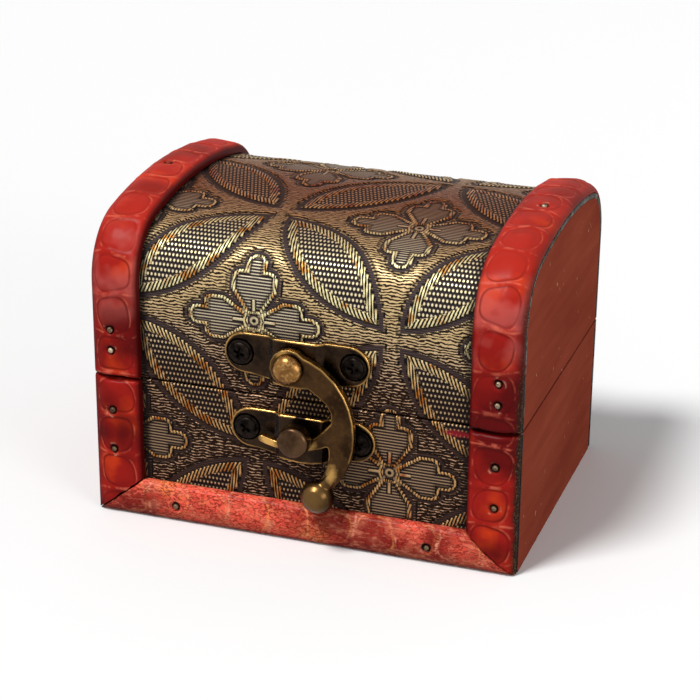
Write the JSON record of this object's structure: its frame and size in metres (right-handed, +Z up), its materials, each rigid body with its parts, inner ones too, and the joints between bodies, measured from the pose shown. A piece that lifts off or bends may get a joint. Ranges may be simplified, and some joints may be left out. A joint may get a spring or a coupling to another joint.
{
  "type": "jewelry box",
  "caption": "Small dome-lid wooden chest with embossed covers, rounded red trim strips, rear butt hinges and a brass swing-hook latch.",
  "frame": {"origin": "centre of the flat underside, on the surface that the box stands on", "axes": "+X to the right seen from the front, -Y out of the latch side, +Z up"},
  "size_m": [0.08, 0.0669, 0.06],
  "materials": {
    "end_wood": "thin red-brown stain, satin, with pores showing",
    "inner_wood": "stained softwood, matt",
    "brocade_cover": "embossed sheet with gold and bronze print, satin sheen",
    "red_trim": "scale-embossed red covering over rounded padding, semi-gloss",
    "antique_brass": "blackened brass, rubbed bright on the edges",
    "rubbed_brass": "antique brass rubbed bright",
    "dark_screw": "blackened steel",
    "steel_nail": "bare steel"
  },
  "bodies": {
    "base": {"base_left_end_board": "end_wood", "base_right_end_board": "end_wood", "base_floor_board": "inner_wood", "base_front_board": "inner_wood", "base_back_board": "inner_wood", "base_front_cover": "brocade_cover", "base_back_cover": "brocade_cover", "base_trim_front_left": "red_trim", "base_trim_front_right": "red_trim", "base_trim_front_bottom": "red_trim", "base_trim_back_left": "red_trim", "base_trim_back_right": "red_trim", "base_trim_back_bottom": "red_trim", "catch_plate": "antique_brass", "catch_stud": "antique_brass", "hinge_left_base_leaf": "antique_brass", "hinge_right_base_leaf": "antique_brass", "hinge_left_pin": "antique_brass", "hinge_right_pin": "antique_brass", "catch_plate_screw_left": "dark_screw", "catch_plate_screw_right": "dark_screw", "hinge_base_screw_left_left": "dark_screw", "hinge_base_screw_left_right": "dark_screw", "hinge_base_screw_right_left": "dark_screw", "hinge_base_screw_right_right": "dark_screw", "base_nail_front_left_low": "steel_nail", "base_nail_front_left_high": "steel_nail", "base_nail_front_right_low": "steel_nail", "base_nail_front_right_high": "steel_nail", "base_nail_front_bottom_left": "steel_nail", "base_nail_front_bottom_right": "steel_nail", "base_nail_back_left_low": "steel_nail", "base_nail_back_right_low": "steel_nail", "base_nail_back_bottom_left": "steel_nail", "base_nail_back_bottom_right": "steel_nail"},
    "lid": {"lid_left_end_board": "end_wood", "lid_right_end_board": "end_wood", "lid_curved_board": "inner_wood", "lid_cover": "brocade_cover", "lid_trim_left": "red_trim", "lid_trim_right": "red_trim", "latch_plate": "antique_brass", "hinge_left_lid_leaf": "antique_brass", "hinge_right_lid_leaf": "antique_brass", "latch_rivet": "rubbed_brass", "latch_plate_screw_left": "dark_screw", "latch_plate_screw_right": "dark_screw", "hinge_lid_screw_left_left": "dark_screw", "hinge_lid_screw_left_right": "dark_screw", "hinge_lid_screw_right_left": "dark_screw", "hinge_lid_screw_right_right": "dark_screw", "lid_nail_front_left_low": "steel_nail", "lid_nail_front_left_high": "steel_nail", "lid_nail_front_right_low": "steel_nail", "lid_nail_front_right_high": "steel_nail", "lid_nail_crown_left": "steel_nail", "lid_nail_crown_right": "steel_nail", "lid_nail_back_left": "steel_nail", "lid_nail_back_right": "steel_nail"},
    "hook": {"swing_hook": "antique_brass"}
  },
  "joints": [
    {"name": "lid_hinge", "type": "hinge", "parent": "base", "child": "lid", "pos_m": [0, 0.0299, 0.0273], "axis": [-1, 0, 0], "range_deg": [0, 100]},
    {"name": "hook_swing", "type": "hinge", "parent": "lid", "child": "hook", "pos_m": [-0.0013, -0.0305, 0.0348], "axis": [0, -1, 0], "range_deg": [0, 95]}
  ]
}
